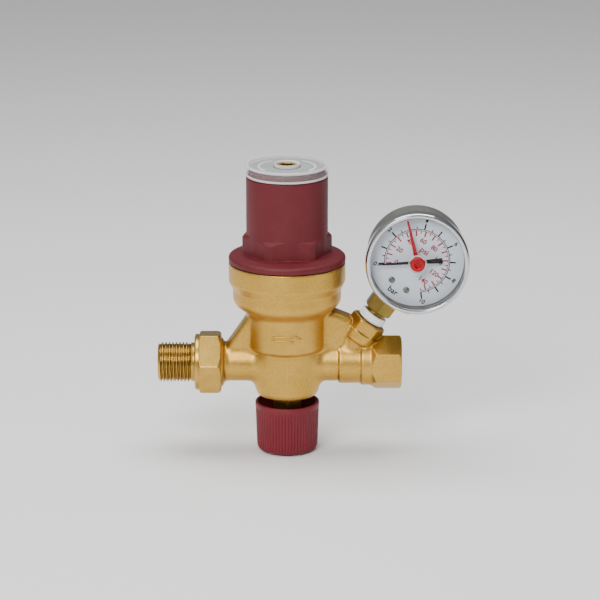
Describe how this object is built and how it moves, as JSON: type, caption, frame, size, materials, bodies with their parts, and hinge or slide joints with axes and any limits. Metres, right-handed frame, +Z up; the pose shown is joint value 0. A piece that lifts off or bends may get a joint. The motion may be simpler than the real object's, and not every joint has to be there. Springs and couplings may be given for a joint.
{
  "type": "pressure reducing valve",
  "caption": "Brass in-line pressure reducing valve with a sprung adjustable bonnet, side-branch pressure gauge, union inlet, threaded outlet and bottom shut-off knob.",
  "frame": {"origin": "crossing of the pipe axis and the valve axis", "axes": "+X along the pipe in the direction of flow, +Z up along the valve axis, -Y towards the gauge face"},
  "size_m": [0.1618, 0.0608, 0.1544],
  "materials": {
    "brass_cast": "hot forged and blasted, satin",
    "brass_turned": "machined, semi-bright",
    "movement_brass": "rolled and bright",
    "red_moulding": "fine moulded grain",
    "knob_moulding": "fine moulded grain, ribbed",
    "clear_cap": "clear polished plastic",
    "lens": "clear polished",
    "label_grey": "printed label",
    "white_nylon": "moulded",
    "sealing_rubber": "moulded",
    "fibre_gasket": "pressed fibre",
    "spring_steel": "drawn wire",
    "steel_parts": "turned",
    "gauge_steel": "light grey satin",
    "gauge_chrome": "polished",
    "dial_face": "pale blue-white enamel",
    "pointer_black": "matt",
    "marker_red": "glossy",
    "ptfe": "wrapped tape"
  },
  "bodies": {
    "root": {"bonnet": "red_moulding", "bonnet_cap": "clear_cap", "bourdon_tube": "movement_brass", "check_cage": "white_nylon", "check_retainer": "white_nylon", "check_spring": "spring_steel", "dial_screw_1": "gauge_chrome", "dial_screw_2": "gauge_chrome", "diaphragm": "sealing_rubber", "gauge_case": "gauge_steel", "gauge_dial": "dial_face", "gauge_lens": "lens", "gauge_ring": "gauge_chrome", "gauge_socket": "brass_turned", "gland": "brass_turned", "gland_oring": "sealing_rubber", "guide_bush": "brass_turned", "main_spring": "spring_steel", "movement_frame": "movement_brass", "ptfe_tape": "ptfe", "return_spring": "spring_steel", "scale_disc": "label_grey", "screw_bush": "brass_turned", "seat_insert": "steel_parts", "seat_oring": "sealing_rubber", "slip_ring": "white_nylon", "spindle_oring": "sealing_rubber", "strainer": "steel_parts", "valve_body": "brass_cast"},
    "tailpiece": {"tailpiece": "brass_turned", "union_gasket": "fibre_gasket"},
    "union_nut": {"union_nut": "brass_turned"},
    "spring_plate": {"spring_plate": "steel_parts"},
    "adjusting_screw": {"adjusting_screw": "brass_turned"},
    "stem": {"valve_stem": "brass_turned", "diaphragm_plate": "steel_parts", "diaphragm_washer": "brass_turned", "stem_nut": "steel_parts", "obturator": "brass_turned", "obturator_seal": "sealing_rubber"},
    "thrust_pin": {"thrust_pin": "steel_parts"},
    "shutoff_knob": {"shutoff_spindle": "brass_turned", "shutoff_knob": "knob_moulding", "knob_washer": "steel_parts", "knob_screw": "steel_parts"},
    "check_poppet": {"check_poppet": "white_nylon", "poppet_seal": "sealing_rubber"},
    "sector": {"sector_gear": "movement_brass"},
    "link": {"link": "movement_brass"},
    "pointer": {"pointer_arbor": "steel_parts", "pointer": "pointer_black"},
    "set_pointer": {"set_pointer": "marker_red", "set_pointer_knob": "marker_red"}
  },
  "joints": [
    {"name": "union_travel", "type": "slide", "parent": "root", "child": "tailpiece", "axis": [1, 0, 0], "range_m": [-0.008, 0]},
    {"name": "union_nut_turn", "type": "hinge", "parent": "tailpiece", "child": "union_nut", "pos_m": [-0.0405, 0, 0], "axis": [1, 0, 0], "range_deg": [-1587, 0]},
    {"name": "spring_plate_travel", "type": "slide", "parent": "root", "child": "spring_plate", "axis": [0, 0, 1], "range_m": [-0.008, 0], "deforming": ["main_spring"]},
    {"name": "pressure_adjust", "type": "hinge", "parent": "spring_plate", "child": "adjusting_screw", "pos_m": [0, 0, 0.096], "axis": [0, 0, 1], "range_deg": [-1919, 0]},
    {"name": "stem_lift", "type": "slide", "parent": "root", "child": "stem", "axis": [0, 0, 1], "range_m": [0, 0.0025], "stiffness_N_per_m": 900, "springref_m": -0.02, "deforming": ["diaphragm", "return_spring"]},
    {"name": "pin_travel", "type": "slide", "parent": "root", "child": "thrust_pin", "axis": [0, 0, 1], "range_m": [0, 0.004]},
    {"name": "shutoff_turn", "type": "hinge", "parent": "thrust_pin", "child": "shutoff_knob", "pos_m": [0, 0, -0.034], "axis": [0, 0, 1], "range_deg": [0, 959]},
    {"name": "check_lift", "type": "slide", "parent": "root", "child": "check_poppet", "axis": [1, 0, 0], "range_m": [0, 0.003], "stiffness_N_per_m": 60, "springref_m": -0.004, "deforming": ["check_spring"]},
    {"name": "sector_turn", "type": "hinge", "parent": "root", "child": "sector", "pos_m": [0.0734, 0, 0.04837], "axis": [0, 1, 0], "range_deg": [-44.5, 0], "stiffness_Nm_per_rad": 0.01, "springref_deg": 17.19},
    {"name": "link_turn", "type": "hinge", "parent": "sector", "child": "link", "pos_m": [0.07303, -0.0017, 0.04436], "axis": [0, 1, 0], "range_deg": [0, 44.5]},
    {"name": "pointer_turn", "type": "hinge", "parent": "root", "child": "pointer", "pos_m": [0.06724, -0.006, 0.05718], "axis": [0, 1, 0], "range_deg": [0, 267]},
    {"name": "set_pointer_turn", "type": "hinge", "parent": "root", "child": "set_pointer", "pos_m": [0.06724, -0.014, 0.05718], "axis": [0, 1, 0], "continuous": true}
  ],
  "couplings": [
    {"joint": "union_travel", "follows": "union_nut_turn", "m_per_rad": 0.00028871},
    {"joint": "spring_plate_travel", "follows": "pressure_adjust", "m_per_rad": 0.00023873},
    {"joint": "pin_travel", "follows": "shutoff_turn", "m_per_rad": 0.00023873},
    {"joint": "pointer_turn", "follows": "sector_turn", "ratio": -6},
    {"joint": "link_turn", "follows": "sector_turn", "ratio": -1}
  ]
}
